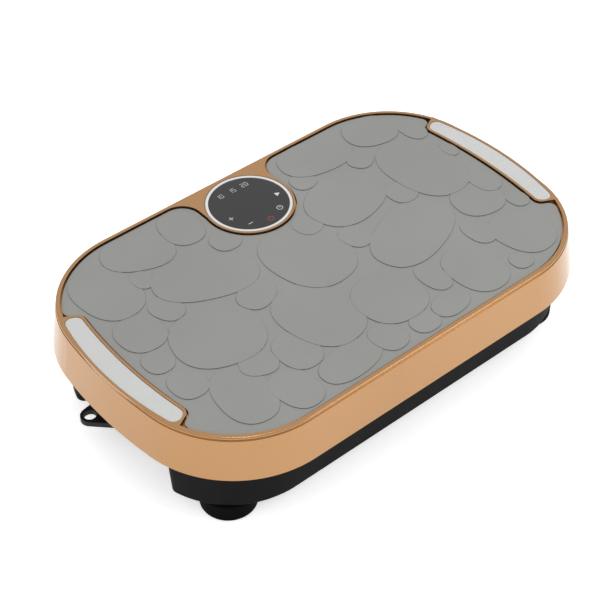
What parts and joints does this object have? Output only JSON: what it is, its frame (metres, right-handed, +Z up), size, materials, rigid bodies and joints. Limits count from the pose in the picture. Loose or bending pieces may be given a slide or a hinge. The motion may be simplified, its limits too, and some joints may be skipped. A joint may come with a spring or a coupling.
{
  "type": "vibration plate",
  "caption": "Low oscillating fitness platform: oval gold shell with grey pebbled mat, end light bars and round touch panel, rocking on a black base with rubber feet and band eyes.",
  "frame": {"origin": "on the floor under the middle of the plate", "axes": "+X along the length, +Y towards the control panel side, +Z up"},
  "size_m": [0.5298, 0.332, 0.122],
  "materials": {
    "gold_shell": "satin gold paint",
    "grey_mat": "matt pebbled rubber",
    "light_lens": "white translucent",
    "circuit": "green board",
    "white_ring": "white",
    "black_glass": "black printed",
    "painted_steel": "black powder coat",
    "zinc": "zinc plated",
    "bronze": "sintered bronze",
    "steel": "ground",
    "aluminium": "machined",
    "cast_iron": "as cast",
    "belt_rubber": "matt",
    "motor_paint": "satin",
    "black_plastic": "fine texture",
    "foot_rubber": "matt",
    "black_steel": "black powder coat",
    "brass": "bright",
    "switch_red": "red"
  },
  "bodies": {
    "base": {"pivot_shaft": "steel", "shaft_clips": "zinc", "pivot_stand_front": "painted_steel", "pivot_stand_back": "painted_steel", "stand_screws": "zinc", "bearing_block_left": "cast_iron", "bearing_block_right": "cast_iron", "shaft_bearing_left": "steel", "shaft_bearing_right": "steel", "block_screws": "zinc", "drive_belt": "belt_rubber", "motor_can": "motor_paint", "motor_bracket": "painted_steel", "motor_screws": "zinc", "bracket_screws": "zinc", "base_shell": "black_plastic", "chassis": "painted_steel", "foot_left_front": "foot_rubber", "foot_left_back": "foot_rubber", "foot_right_front": "foot_rubber", "foot_right_back": "foot_rubber", "foot_screws": "zinc", "band_eye_left": "black_steel", "band_eye_right": "black_steel", "eye_screws": "zinc", "driver_board": "circuit", "board_spacers": "black_plastic", "board_screws": "zinc", "inlet_plate": "black_plastic", "mains_inlet": "black_plastic", "inlet_blades": "brass", "switch_frame": "black_plastic"},
    "platform": {"top_shell": "gold_shell", "top_mat": "grey_mat", "light_bar_left": "light_lens", "light_bar_right": "light_lens", "led_strip_left": "circuit", "led_strip_right": "circuit", "panel_ring": "white_ring", "panel_glass": "black_glass", "panel_board": "circuit", "platform_frame": "painted_steel", "shell_screws": "zinc", "pivot_bush_front": "bronze", "pivot_bush_back": "bronze", "rod_pin_left": "steel", "rod_pin_right": "steel"},
    "drive": {"drive_shaft": "steel", "drive_pulley": "aluminium"},
    "rotor": {"motor_rotor": "steel", "motor_pulley": "aluminium"},
    "rod_left": {"rod_left": "aluminium", "rod_bearing_left": "steel"},
    "rod_right": {"rod_right": "aluminium", "rod_bearing_right": "steel"},
    "rocker": {"switch_rocker": "switch_red"}
  },
  "joints": [
    {"name": "platform_rock", "type": "hinge", "parent": "base", "child": "platform", "pos_m": [0, 0, 0.085], "axis": [0, 1, 0], "range_deg": [-1.2, 1.2]},
    {"name": "drive_turn", "type": "hinge", "parent": "base", "child": "drive", "pos_m": [0, -0.04, 0.052], "axis": [1, 0, 0], "continuous": true},
    {"name": "rotor_turn", "type": "hinge", "parent": "base", "child": "rotor", "pos_m": [0, 0.045, 0.052], "axis": [1, 0, 0], "continuous": true},
    {"name": "rod_left_turn", "type": "hinge", "parent": "drive", "child": "rod_left", "pos_m": [-0.11, -0.0423, 0.052], "axis": [1, 0, 0], "continuous": true},
    {"name": "rod_right_turn", "type": "hinge", "parent": "drive", "child": "rod_right", "pos_m": [0.11, -0.0377, 0.052], "axis": [1, 0, 0], "continuous": true},
    {"name": "switch_rock", "type": "hinge", "parent": "base", "child": "rocker", "pos_m": [-0.092, 0.1387, 0.048], "axis": [1, 0, 0], "range_deg": [0, 16]}
  ],
  "couplings": [
    {"joint": "rotor_turn", "follows": "drive_turn", "ratio": 2},
    {"joint": "rod_left_turn", "follows": "drive_turn", "ratio": -1},
    {"joint": "rod_right_turn", "follows": "drive_turn", "ratio": -1}
  ]
}
